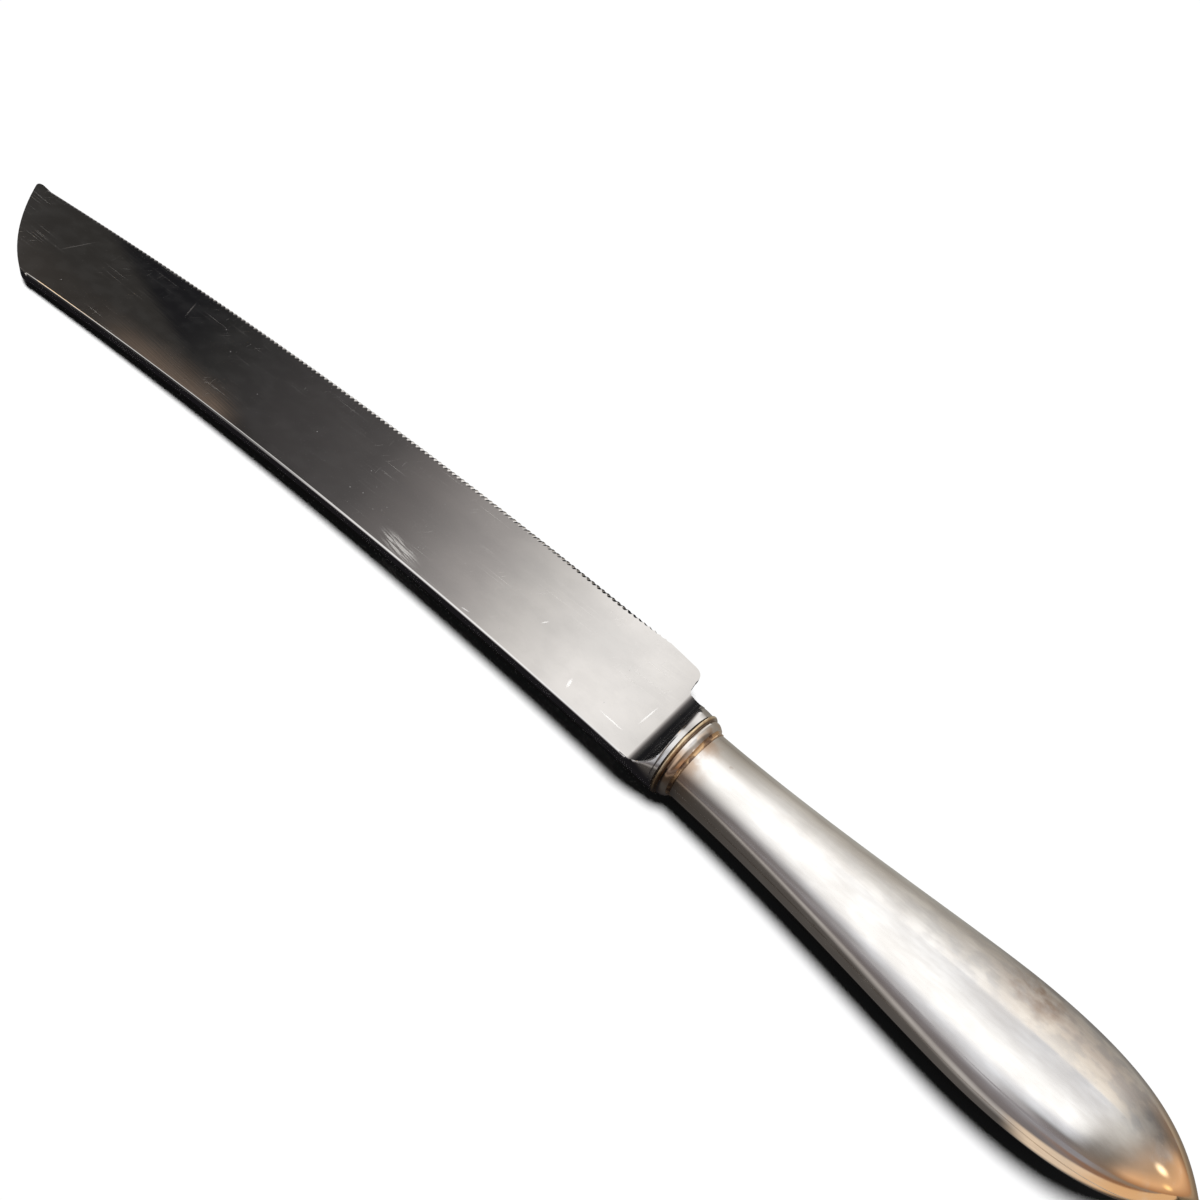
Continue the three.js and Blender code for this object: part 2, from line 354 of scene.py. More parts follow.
def blade_leaf(finish):
    bm = bmesh.new()
    blade_plan(bm)
    lower = bm.verts[:]
    raised = bmesh.ops.extrude_face_region(bm, geom=bm.faces[:], use_keep_orig=True)
    upper = [item for item in raised["geom"] if isinstance(item, bmesh.types.BMVert)]
    cut_flutes(lower, -1)
    cut_flutes(upper, 1)
    for side, verts in ((-1, lower), (1, upper)):
        for vert in verts:
            vert.co.z = side * face_height(vert.co.x, vert.co.y)
    bmesh.ops.recalc_face_normals(bm, faces=bm.faces)

    spine_edges = []
    for edge in bm.edges:
        offsets = [along_and_offset(vert.co.xy.to_3d())[1] for vert in edge.verts]
        level = edge.verts[0].co.z * edge.verts[1].co.z > 0
        if level and all(abs(offset + spine_offset) < on_the_line for offset in offsets):
            spine_edges.append(edge)
    bmesh.ops.bevel(
        bm,
        geom=spine_edges,
        offset=spine_ridge,
        segments=ridge_steps,
        profile=0.5,
        affect="EDGES",
        material=-1,
    )
    finish_piece(bm, "blade_leaf", "blade", finish, sharp=21, flat_over=ground_face_area)


# Bolster

def bolster_stations():
    """The oval block that the bolster is cut from, in distances from the heel line."""
    cove = [cove_length * math.sin(math.pi / 2 * step / cove_steps) for step in range(cove_steps + 1)]
    crest = [cove_length + crest_round * share for share in crest_shares]
    seat_run = bolster_length - cove_length - crest_round
    seat = [crest[-1] + seat_run * step / seat_steps for step in range(1, seat_steps + 1)]
    start = -bolster_length - heel_slant
    stations = []
    for run in [-bolster_tuck, *cove, *crest, *seat]:
        x = run - bolster_length
        share = (x - start) / -start
        half_width = (spine_offset + notch_offset) / 2 * (1 - share) + seat_half_width * share
        half_width += bolster_swell * math.sin(math.pi * min(share, 1))
        half_height = heel_half_height * (1 - share) + seat_half_height * share
        stations.append((x, half_width, half_height))
    return [(stations[0][0], 0, 0), *stations, (stations[-1][0], 0, 0)]


def bolster_block(finish):
    bm = oval_form(bolster_stations())
    lean = (notch_offset - spine_offset) / 2 / (-bolster_length - heel_slant)
    crest_at = cove_length - bolster_length
    slant = heel_line.x / heel_line.y
    for vert in bm.verts:
        run = vert.co.x + bolster_length
        vert.co.y += vert.co.x * lean
        follow = min(1, max(0, vert.co.x / crest_at))
        vert.co.x += slant * (vert.co.y + spine_offset) * follow
        side = 1 if vert.co.z > 0 else -1
        height = abs(vert.co.z)
        if run < cove_length + station_slack:
            share = min(1, max(0, run) / cove_length)
            limit = face_height(vert.co.x, vert.co.y) - cove_sink
            limit += cove_rise * (1 - math.sqrt(1 - share**2))
        else:
            share = min(1, (run - cove_length) / crest_round)
            limit = height - crest_round * (1 - math.sqrt(1 - (1 - share) ** 2))
        vert.co.z = side * min(height, limit)
    bmesh.ops.recalc_face_normals(bm, faces=bm.faces)
    finish_piece(bm, "bolster_block", "blade", finish, sharp=50)


# Ring, collar and solder fillet

def band_stations(start, length, front, back, crown):
    """A band on the spigot, with its half widths in front and behind and the swell of its rim."""
    ratio = seat_half_height / seat_half_width
    loop = [(start, band_bore)]
    for step in range(rim_steps + 1):
        share = step / rim_steps
        half = front + (back - front) * share + crown * math.sin(math.pi * share)
        loop.append((start + length * share, half))
    loop.append((start + length, band_bore))
    loop.append((start, band_bore))
    return [(x, half, half * ratio) for x, half in loop]


def ring_band(finish):
    bm = oval_form(band_stations(0, ring_length, seat_half_width, seat_half_width, ring_crown))
    finish_piece(bm, "ring_band", "bolster_ring", finish)


def collar_band(finish):
    back = collar_half_width - collar_taper
    bm = oval_form(band_stations(ring_length, collar_length, collar_half_width, back, collar_crown))
    finish_piece(bm, "collar_band", "collar", finish)


def solder_fillet(finish):
    front = collar_half_width - collar_taper - fillet_step
    bm = oval_form(band_stations(collar_end, fillet_length, front, neck_half_width, -fillet_hollow))
    finish_piece(bm, "solder_fillet", "collar_solder", finish)


# Handle

def handle_outline():
    """The outside of the handle as stations, from the mouth to the butt."""
    butt_rise_up = butt_rise * bulge_half_height / bulge_half_width
    rise = [
        Vector((0, neck_half_width, neck_half_height)),
        Vector((neck_run, neck_half_width, neck_half_height)),
        Vector((bulge_at - bulge_run_in, bulge_half_width, bulge_half_height)),
        Vector((bulge_at, bulge_half_width, bulge_half_height)),
    ]
    fall = [
        Vector((bulge_at, bulge_half_width, bulge_half_height)),
        Vector((bulge_at + bulge_run_out, bulge_half_width, bulge_half_height)),
        Vector((handle_length - butt_run, butt_half_width + butt_rise, butt_half_height + butt_rise_up)),
        Vector((handle_length, butt_half_width, butt_half_height)),
    ]
    points = interpolate_bezier(*rise, handle_steps + 1)
    points += interpolate_bezier(*fall, handle_steps + 1)[1:]
    return [(mouth_at + point.x, point.y, point.z) for point in points]


def handle_body():
    """The whole handle as one hollow oval body, closed at the butt and open at the mouth."""
    outside = handle_outline()
    heart = mouth_at + handle_length - butt_solid
    inside = [
        (x, half_width - shell_wall, half_height - shell_wall)
        for x, half_width, half_height in outside
        if x < heart
    ]
    butt = [(mouth_at + handle_length, 0, 0)]
    return oval_form([(inside[-1][0], 0, 0), *reversed(inside), *outside, *butt])


def keep_one_side(bm, place, normal):
    """Cuts the body on a plane, drops what lies before it and closes the cut."""
    geom = bm.verts[:] + bm.edges[:] + bm.faces[:]
    cut = bmesh.ops.bisect_plane(
        bm, geom=geom, dist=merge_distance, plane_co=place, plane_no=normal, clear_inner=True
    )
    rim = [item for item in cut["geom_cut"] if isinstance(item, bmesh.types.BMEdge)]
    bmesh.ops.holes_fill(bm, edges=rim, sides=0)


def half_shell(name, node, side, finish):
    bm = handle_body()
    keep_one_side(bm, (0, 0, side * seam_width / 2), (0, 0, side))
    finish_piece(bm, name, node, finish)


def seam_strip(name, node, side, finish):
    bm = handle_body()
    keep_one_side(bm, (0, 0, seam_width / 2), (0, 0, -1))
    keep_one_side(bm, (0, 0, -seam_width / 2), (0, 0, 1))
    keep_one_side(bm, (0, 0, 0), (0, side, 0))
    finish_piece(bm, name, node, finish)


# Colours of the metals and the cement
clean_steel = (0.68, 0.665, 0.65)
smudged_steel = (0.6, 0.59, 0.58)
hazed_steel = (0.46, 0.45, 0.44)
scratched_steel = (0.85, 0.84, 0.82)
nicked_steel = (0.92, 0.91, 0.9)
dust_grey = (0.5, 0.49, 0.48)
dark_patch_steel = (0.17, 0.13, 0.1)
bright_silver = (0.93, 0.915, 0.89)
bloomed_silver = (0.8, 0.775, 0.745)
mottled_silver = (0.66, 0.66, 0.67)
grained_silver = (0.5, 0.46, 0.42)
patch_brown = (0.46, 0.35, 0.28)
dark_freckle = (0.3, 0.21, 0.15)
butt_gold = (0.85, 0.61, 0.38)
neck_grey_tone = (0.6, 0.57, 0.53)
neck_brown = (0.46, 0.32, 0.22)
bright_brass = (0.85, 0.7, 0.48)
stained_brass = (0.55, 0.38, 0.22)
brass_end_tone = (0.2, 0.13, 0.08)
bright_solder = (0.62, 0.4, 0.22)
dark_solder = (0.16, 0.1, 0.07)
bright_seam = (0.74, 0.71, 0.67)
dull_seam = (0.52, 0.47, 0.42)
dark_cement = (0.2, 0.15, 0.11)
pale_cement = (0.42, 0.33, 0.25)


# Finishes

class Shader:
    """A node tree, with short ways to add and join its nodes."""

    def __init__(self, tree):
        self.tree = tree

    def join(self, output, node, socket):
        self.tree.links.new(output, node.inputs[socket])

    def node(self, kind, values=None, **settings):
        made = self.tree.nodes.new(kind)
        for name, value in settings.items():
            setattr(made, name, value)
        for socket, value in (values or {}).items():
            if isinstance(value, bpy.types.NodeSocket):
                self.join(value, made, socket)
            else:
                made.inputs[socket].default_value = value
        return made

    def math(self, operation, first, second=0.0):
        return self.node("ShaderNodeMath", {0: first, 1: second}, operation=operation).outputs[0]

    def times(self, first, *others):
        for other in others:
            first = self.math("MULTIPLY", first, other)
        return first

    def most(self, first, *others):
        for other in others:
            first = self.math("MAXIMUM", first, other)
        return first

    def plus(self, first, second):
        return self.math("ADD", first, second)

    def minus(self, first, second):
        return self.math("SUBTRACT", first, second)

    def axes(self, place):
        """The X, Y and Z of a place or a direction."""
        return self.node("ShaderNodeSeparateXYZ", {"Vector": place}).outputs

    def ramp(self, value, low, high, start=0.0, end=1.0):
        """Eases from start to end as value goes from low to high."""
        node = self.node(
            "ShaderNodeMapRange",
            {"Value": value, "From Min": low, "From Max": high, "To Min": start, "To Max": end},
            interpolation_type="SMOOTHSTEP",
        )
        return node.outputs["Result"]

    def even_ramp(self, value, low, high):
        """Goes evenly from 0 to 1 as value goes from low to high."""
        node = self.node("ShaderNodeMapRange", {"Value": value, "From Min": low, "From Max": high})
        return node.outputs["Result"]

    def blend(self, share, first, second):
        """Goes from the first colour to the second as share goes from 0 to 1."""
        node = self.node("ShaderNodeMix", {0: share}, data_type="RGBA")
        for socket, colour in ((6, first), (7, second)):
            if isinstance(colour, bpy.types.NodeSocket):
                self.join(colour, node, socket)
            else:
                node.inputs[socket].default_value = (*colour, 1)
        return node.outputs[2]

    def colours(self, value, stops):
        """A run of colours, each at its place between 0 and 1."""
        node = self.node("ShaderNodeValToRGB", {"Fac": value})
        elements = node.color_ramp.elements
        while len(elements) < len(stops):
            elements.new(1.0)
        for element, (place, colour) in zip(elements, stops):
            element.position = place
            element.color = (*colour, 1)
        return node.outputs["Color"]

    def streaks(self, place, turn, length, width, low, high):
        """Thin marks of a given length and width in plan, that lie at a turn from the knife's length."""
        laid = self.node(
            "ShaderNodeMapping",
            {"Vector": place, "Rotation": (0, 0, turn), "Scale": (length, width, 1)},
            vector_type="TEXTURE",
        )
        noise = self.node("ShaderNodeTexNoise", {"Vector": laid.outputs[0], "Scale": 1.0, "Detail": 1.0})
        return self.ramp(noise.outputs["Fac"], low, high)

    def clouds(self, place, size, detail=3.0, stretch=1.0):
        """Soft noise of a given size, drawn out along the knife by a stretch."""
        scale = (1 / (size * stretch), 1 / size, 1 / size)
        laid = self.node("ShaderNodeMapping", {"Vector": place, "Scale": scale}).outputs[0]
        noise = self.node("ShaderNodeTexNoise", {"Vector": laid, "Scale": 1.0, "Detail": detail})
        return noise.outputs["Fac"]

    def spots(self, place, spacing, radius, share):
        """Round spots, in a share of the cells of a scatter."""
        cells = self.node("ShaderNodeTexVoronoi", {"Vector": place, "Scale": 1 / spacing})
        chosen = self.node("ShaderNodeSeparateColor", {"Color": cells.outputs["Color"]})
        spot = self.ramp(cells.outputs["Distance"], radius / spacing, 0.5 * radius / spacing)
        return self.times(spot, self.math("LESS_THAN", chosen.outputs[0], share))

    def scratch(self, place, centre, turn, length, width):
        """One fine scratch at a place on the blade, at a turn from the knife's length."""
        size = (length / 2, width / 2, 1)
        laid = self.node(
            "ShaderNodeMapping",
            {"Vector": place, "Location": centre, "Rotation": (0, 0, turn), "Scale": size},
            vector_type="TEXTURE",
        )
        away = self.node("ShaderNodeVectorMath", {0: laid.outputs[0]}, operation="LENGTH")
        return self.ramp(away.outputs["Value"], 1.0, 0.3)

    def near(self, place, centre, reach):
        """1 at a place or a direction, falling to 0 at a reach from it."""
        away = self.node("ShaderNodeVectorMath", {0: place, 1: centre}, operation="DISTANCE")
        return self.ramp(away.outputs["Value"], reach, 0.0)


def effect_group(name, outputs):
    """A shared effect that takes a place on the knife and gives masks."""
    group = bpy.data.node_groups.new(name, "ShaderNodeTree")
    group.interface.new_socket("Place", in_out="INPUT", socket_type="NodeSocketVector")
    for output in outputs:
        group.interface.new_socket(output, in_out="OUTPUT", socket_type="NodeSocketFloat")
    shader = Shader(group)
    place = shader.node("NodeGroupInput").outputs["Place"]
    return group, shader, place


def wear_marks():
    """Scratches, dust, smudges and haze of a blade that has been used and wiped."""
    group, shader, place = effect_group("wear_marks", ("Scratches", "Dust", "Smudges", "Haze"))
    lengthwise = shader.streaks(place, turn=0.06, length=22 * MM, width=0.16 * MM, low=0.66, high=0.76)
    slanted = shader.streaks(place, turn=-1.97, length=6 * MM, width=0.14 * MM, low=0.7, high=0.78)
    crossing = shader.streaks(place, turn=-1.2, length=5 * MM, width=0.13 * MM, low=0.71, high=0.79)
    patches = shader.ramp(shader.clouds(place, 18 * MM), 0.45, 0.65)
    masks = {
        "Scratches": shader.times(shader.most(slanted, crossing, lengthwise), patches),
        "Dust": shader.spots(place, spacing=2.6 * MM, radius=0.16 * MM, share=0.3),
        "Smudges": shader.ramp(shader.clouds(place, 14 * MM, detail=5.0, stretch=2.0), 0.35, 0.7),
        "Haze": shader.ramp(shader.clouds(place, 3.2 * MM, detail=6.0, stretch=1.4), 0.4, 0.68),
    }
    shader.node("NodeGroupOutput", masks)
    return group


def tarnish():
    """Grey bloom, brown freckles and fine grain of silver that has darkened."""
    group, shader, place = effect_group("tarnish", ("Bloom", "Freckles", "Grain"))
    broad = shader.clouds(place, 16 * MM, detail=4.0, stretch=2.2)
    fine = shader.clouds(place, 4.5 * MM, detail=5.0, stretch=1.6)
    spots = shader.spots(place, spacing=4.2 * MM, radius=0.5 * MM, share=0.16)
    masks = {
        "Bloom": shader.ramp(shader.times(shader.plus(broad, fine), 0.5), 0.4, 0.62),
        "Freckles": shader.times(spots, shader.ramp(fine, 0.42, 0.6)),
        "Grain": shader.clouds(place, 0.6 * MM, detail=3.0, stretch=6.0),
    }
    shader.node("NodeGroupOutput", masks)
    return group


def new_finish(name):
    """A material with its place on the resting knife and its metal shader."""
    finish = bpy.data.materials.new(name)
    finish.use_nodes = True
    finish.node_tree.nodes.clear()
    shader = Shader(finish.node_tree)
    laid = shader.node("ShaderNodeTexCoord").outputs["Object"]
    unrest = at_rest.inverted()
    place = shader.node(
        "ShaderNodeMapping",
        {"Vector": laid, "Location": unrest.translation, "Rotation": unrest.to_euler()},
    ).outputs[0]
    metal = shader.node("ShaderNodeBsdfPrincipled", {"Metallic": 1.0})
    shader.node("ShaderNodeOutputMaterial", {"Surface": metal.outputs["BSDF"]})
    return finish, shader, place, metal


def use_group(shader, group, place):
    node = shader.node("ShaderNodeGroup", node_tree=group)
    shader.join(place, node, "Place")
    return node.outputs


def roughen(shader, metal, height, strength, distance):
    """Gives the metal the fine relief of a mask."""
    bump = shader.node("ShaderNodeBump", {"Height": height, "Strength": strength, "Distance": distance})
    shader.join(bump.outputs[0], metal, "Normal")


def polished_steel(marks):
    finish, shader, place, metal = new_finish("polished_steel")
    wear = use_group(shader, marks, place)
    upward = shader.axes(shader.node("ShaderNodeNewGeometry").outputs["Normal"])["Z"]
    on_leaf = shader.ramp(shader.axes(place)["X"], -5.5 * MM, -8 * MM)
    on_face = shader.times(on_leaf, shader.ramp(shader.math("ABSOLUTE", upward), 0.6, 0.95))
    on_top = shader.times(on_leaf, shader.ramp(upward, 0.6, 0.95))

    scuff_lines = shader.streaks(place, turn=-0.1, length=5 * MM, width=0.4 * MM, low=0.4, high=0.56)
    scuff = shader.times(scuff_lines, shader.scratch(place, *scuff_mark))
    faint = shader.most(shader.scratch(place, *point_scratch), shader.scratch(place, *nose_scratch))
    worn = shader.most(wear["Scratches"], scuff, shader.times(faint, 0.6))
    worn = shader.times(worn, on_face)
    bright_marks = (white_nick, heel_scratch, cross_scratch, middle_nick, spine_nick)
    nicks = shader.most(*[shader.scratch(place, *mark) for mark in bright_marks])
    by_specks = shader.most(shader.near(place, *point_specks), shader.near(place, *heel_specks))
    specks = shader.times(shader.spots(place, spacing=1.5 * MM, radius=0.16 * MM, share=0.5), by_specks)
    dust = shader.times(shader.most(wear["Dust"], specks), on_top)

    colour = shader.blend(wear["Smudges"], clean_steel, smudged_steel)
    colour = shader.blend(shader.times(wear["Haze"], 0.14), colour, hazed_steel)
    colour = shader.blend(worn, colour, scratched_steel)
    colour = shader.blend(nicks, colour, nicked_steel)
    colour = shader.blend(dust, colour, dust_grey)
    # A dark brown patch on the bolster's top next to the ring, on the edge side.
    colour = shader.blend(shader.near(place, *bolster_dark_patch), colour, dark_patch_steel)
    shader.join(colour, metal, "Base Color")
    rough = shader.ramp(wear["Smudges"], 0.0, 1.0, 0.03, 0.08)
    rough = shader.plus(rough, shader.ramp(on_leaf, 1.0, 0.0, 0.0, 0.04))
    rough = shader.plus(rough, shader.times(worn, 0.3))
    shader.join(rough, metal, "Roughness")
    bare = shader.minus(shader.ramp(dust, 0.0, 1.0, 1.0, 0.4), shader.times(worn, 0.12))
    bare = shader.minus(bare, shader.times(wear["Haze"], 0.012))
    bare = shader.minus(bare, shader.times(nicks, 0.45))
    shader.join(bare, metal, "Metallic")
    grind = shader.streaks(place, turn=0.0, length=12 * MM, width=0.25 * MM, low=0.3, high=0.7)
    roughen(shader, metal, grind, strength=0.03, distance=0.02 * MM)
    return finish


def tarnished_silver(cloud):
    finish, shader, place, metal = new_finish("tarnished_silver")
    dull = use_group(shader, cloud, place)
    side = shader.axes(place)
    x, y = side["X"], side["Y"]
    colour = shader.blend(dull["Bloom"], bright_silver, bloomed_silver)

    far_side = shader.ramp(y, -4.5 * MM, -1 * MM)
    to_butt = shader.ramp(x, 25 * MM, 80 * MM, 0.15, 1.0)
    mottle = shader.ramp(shader.clouds(place, 1.8 * MM, detail=6.0, stretch=1.6), 0.42, 0.62)
    colour = shader.blend(shader.times(mottle, far_side, to_butt), colour, mottled_silver)
    browned = shader.ramp(shader.clouds(place, 2 * MM, detail=4.0), 0.32, 0.75)
    browned = shader.times(shader.near(place, *brown_patch), browned)
    colour = shader.blend(browned, colour, patch_brown)
    colour = shader.blend(shader.ramp(dull["Grain"], 0.3, 0.7, 0.0, 0.16), colour, grained_silver)

    patchy = shader.clouds(place, 5 * MM, detail=4.0)
    to_end = shader.plus(x, shader.times(shader.math("ABSOLUTE", y), 0.6))
    butt = shader.times(shader.ramp(to_end, 83.5 * MM, 91 * MM), shader.ramp(patchy, 0.2, 0.5))
    colour = shader.blend(butt, colour, butt_gold)
    # Greyer towards the neck, except along a band near y = -2.8 mm.
    off_top = shader.math("ABSOLUTE", shader.plus(y, 2.8 * MM))
    neck_greying = shader.times(shader.ramp(x, 20 * MM, 6 * MM), shader.ramp(off_top, 0.5 * MM, 3 * MM))
    colour = shader.blend(neck_greying, colour, neck_grey_tone)
    neck = shader.times(shader.ramp(x, 9 * MM, 2 * MM), shader.ramp(patchy, 0.35, 0.6))
    colour = shader.blend(neck, colour, neck_brown)
    colour = shader.blend(dull["Freckles"], colour, dark_freckle)
    shader.join(colour, metal, "Base Color")
    shader.join(shader.ramp(dull["Bloom"], 0.0, 1.0, 0.06, 0.14), metal, "Roughness")
    dents = shader.clouds(place, 3 * MM, detail=3.0, stretch=2.0)
    roughen(shader, metal, dents, strength=0.06, distance=0.1 * MM)
    return finish


def ring_brass():
    finish, shader, place, metal = new_finish("ring_brass")
    along = shader.axes(place)["X"]
    front = shader.ramp(along, 0.0, 0.35 * ring_length)
    back = shader.ramp(along, ring_length, 0.65 * ring_length)
    stain = shader.ramp(shader.clouds(place, 2 * MM), 0.35, 0.7)
    colour = shader.blend(stain, bright_brass, stained_brass)
    # The ring is darker brown at both of its ends.
    colour = shader.blend(shader.times(front, back), brass_end_tone, colour)
    shader.join(colour, metal, "Base Color")
    shader.join(shader.ramp(stain, 0.0, 1.0, 0.18, 0.35), metal, "Roughness")
    return finish


def solder_gold():
    finish, shader, place, metal = new_finish("solder_gold")
    stain = shader.clouds(place, 2.4 * MM)
    colour = shader.blend(shader.ramp(stain, 0.42, 0.62), bright_solder, dark_solder)
    shader.join(colour, metal, "Base Color")
    shader.join(shader.ramp(stain, 0.3, 0.7, 0.14, 0.4), metal, "Roughness")
    lumps = shader.clouds(place, 1.6 * MM, detail=2.0)
    roughen(shader, metal, lumps, strength=0.5, distance=0.4 * MM)
    return finish


def seam_silver(cloud):
    """The solder of the long seams, filed flush and as grey as the silver."""
    finish, shader, place, metal = new_finish("seam_silver")
    dull = use_group(shader, cloud, place)
    shader.join(shader.blend(dull["Bloom"], bright_seam, dull_seam), metal, "Base Color")
    shader.join(shader.ramp(dull["Grain"], 0.3, 0.7, 0.2, 0.35), metal, "Roughness")
    return finish


def cutlers_cement():
    finish, shader, place, cement = new_finish("cutlers_cement")
    grain = shader.clouds(place, 1.2 * MM, detail=6.0)
    shader.join(shader.blend(grain, dark_cement, pale_cement), cement, "Base Color")
    cement.inputs["Metallic"].default_value = 0.0
    cement.inputs["Roughness"].default_value = 0.9
    return finish


# Stage
floor_half = 4.0
floor_white = (0.97, 0.97, 0.97, 1)
tent_radius = 2.5
tent_white = 1.3
card_lift = 0.2 * MM
card_white = 1.0
lit_strip_at = 56 * MM
lit_strip_lean = 25.3
# Where the painted shadow under the heel lies on the table card, and its reach
heel_shadow_spot = (ring_centre + Vector((-8, 20, -8)) * MM, 10 * MM)
lamp_strength = 3.3
lamp_spread = math.radians(22)
lamp_tilt = math.radians(8)
fill_strength = 0.015
full_white = (1, 1, 1, 1)

# Colours of the walls, each at a height from the table to straight above
wall_behind = [
    (0.0, (0.31, 0.285, 0.255)),
    (0.28, (0.42, 0.395, 0.36)),
    (0.54, (0.52, 0.5, 0.475)),
    (0.77, (0.65, 0.635, 0.615)),
    (0.92, (0.88, 0.865, 0.85)),
    (1.0, (1.0, 1.0, 1.0)),
]
cream_wall = [
    (0.0, (0.32, 0.29, 0.26)),
    (0.29, (0.38, 0.34, 0.3)),
    (0.55, (0.51, 0.45, 0.4)),
    (0.76, (0.72, 0.66, 0.59)),
    (0.9, (0.93, 0.87, 0.79)),
    (1.0, (1.0, 0.95, 0.88)),
]
wall_in_front = [
    (0.0, (0.2, 0.18, 0.185)),
    (0.17, (0.16, 0.145, 0.145)),
    (0.21, (0.22, 0.215, 0.225)),
    (0.25, (0.34, 0.345, 0.36)),
    (0.3, (0.5, 0.51, 0.54)),
    (0.45, (0.68, 0.69, 0.73)),
    (0.6, (1.0, 1.0, 1.0)),
]
lit_wall_in_front = [
    (0.0, (0.44, 0.435, 0.45)),
    (0.15, (0.5, 0.5, 0.52)),
    (0.3, (0.6, 0.61, 0.64)),
    (0.45, (0.78, 0.79, 0.82)),
    (0.6, (1.0, 1.0, 1.0)),
]
wall_on_right = [
    (0.0, (0.19, 0.15, 0.125)),
    (0.3, (0.175, 0.155, 0.14)),
    (0.5, (0.22, 0.205, 0.19)),
    (0.65, (0.32, 0.3, 0.28)),
    (0.87, (0.62, 0.6, 0.57)),
    (1.0, (1.0, 1.0, 1.0)),
]
gold_corner = [
    (0.0, (0.32, 0.2, 0.13)),
    (0.2, (0.66, 0.5, 0.38)),
    (0.45, (0.4, 0.34, 0.3)),
]
ceiling_grey = (0.64, 0.64, 0.655)
dim_low = (0.15, 0.135, 0.135)
dim_high = (0.76, 0.76, 0.77)
dark_past_point = (0.03, 0.028, 0.028)

# Colours of the dark doorway, from the far left to the middle
doorway_greys = [
    (0.2, (0.012, 0.012, 0.0135)),
    (0.24, (0.0135, 0.0135, 0.015)),
    (0.27, (0.03, 0.0295, 0.029)),
    (0.3, (0.042, 0.04, 0.0402)),
    (0.33, (0.055, 0.0515, 0.0515)),
    (0.4, (0.085, 0.0797, 0.0795)),
    (0.45, (0.18, 0.167, 0.164)),
    (0.535, (0.41, 0.39, 0.38)),
    (0.6, (0.68, 0.66, 0.64)),
    (0.66, (0.9, 0.88, 0.86)),
    (0.74, (1.0, 0.98, 0.96)),
]
jamb_slope = 0.386
jamb_brown = (0.0335, 0.0315, 0.0295)
ember_slope = 0.76
ember_brown = (0.19, 0.142, 0.11)

# Small lights of the room: direction from the middle of the stage and reach
end_wall = ((-0.95, 0.0, 0.3), 0.4)
end_wall_grey = (0.4, 0.4, 0.41)
flame = ((-0.79, 0.12, 0.6), 0.12)
flame_orange = (1.8, 1.2, 0.6)
window = ((0.896, 0.071, 0.438), 0.12)
window_white = (2.2, 2.1, 1.9)
spark = ((0.982, -0.059, 0.178), 0.09)
spark_gold = (1.4, 1.15, 0.7)

# Colours of the table, those in front from the knife outwards: the knife's painted shadow, a painted lit
# strip, then brown
table_in_front = [
    (0.0, (0.07, 0.063, 0.058)),
    (0.17, (0.1, 0.09, 0.083)),
    (0.235, (0.46, 0.43, 0.41)),
    (0.26, (0.46, 0.43, 0.41)),
    (0.34, (0.2, 0.178, 0.178)),
    (0.6, (0.23, 0.21, 0.215)),
    (1.0, (0.3, 0.285, 0.3)),
]
far_light_grey = (0.5, 0.49, 0.51)
blade_side_shadow = (0.014, 0.013, 0.015)
warm_table = (0.28, 0.17, 0.12)
grey_behind = (0.4, 0.385, 0.35)
shade_behind = (0.21, 0.195, 0.18)
far_behind = (0.4, 0.37, 0.33)
dark_behind = (0.03, 0.03, 0.032)
heel_shadow_dark = (0.02, 0.02, 0.022)
lit_cream_by_butt = (0.8, 0.63, 0.47)


def stage_piece(bm, name):
    """A thing of the stage, with an empty material."""
    mesh = bpy.data.meshes.new(name)
    bm.to_mesh(mesh)
    bm.free()
    thing = bpy.data.objects.new(name, mesh)
    bpy.context.scene.collection.objects.link(thing)
    finish = bpy.data.materials.new(name)
    finish.use_nodes = True
    finish.node_tree.nodes.clear()
    mesh.materials.append(finish)
    return thing, Shader(finish.node_tree)


def for_metal_only(thing):
    """Hides a thing from all but the reflections in the metal."""
    thing.visible_camera = False
    thing.visible_diffuse = False
    thing.visible_shadow = False
    thing.active_material.cycles.emission_sampling = "NONE"


def glow_for_metal(shader, colour, strength):
    """Light that the camera sees mirrored in the knife, and that the knife throws nowhere else."""
    bounces = shader.node("ShaderNodeLightPath").outputs["Diffuse Depth"]
    strength = shader.times(shader.math("LESS_THAN", bounces, 0.5), strength)
    glow = shader.node("ShaderNodeEmission", {"Color": colour, "Strength": strength})
    shader.node("ShaderNodeOutputMaterial", {"Surface": glow.outputs["Emission"]})


def pale_floor():
    bm = bmesh.new()
    bmesh.ops.create_grid(bm, x_segments=1, y_segments=1, size=floor_half)
    shader = stage_piece(bm, "pale_floor")[1]
    matt = shader.node("ShaderNodeBsdfDiffuse", {"Color": floor_white})
    shader.node("ShaderNodeOutputMaterial", {"Surface": matt.outputs["BSDF"]})


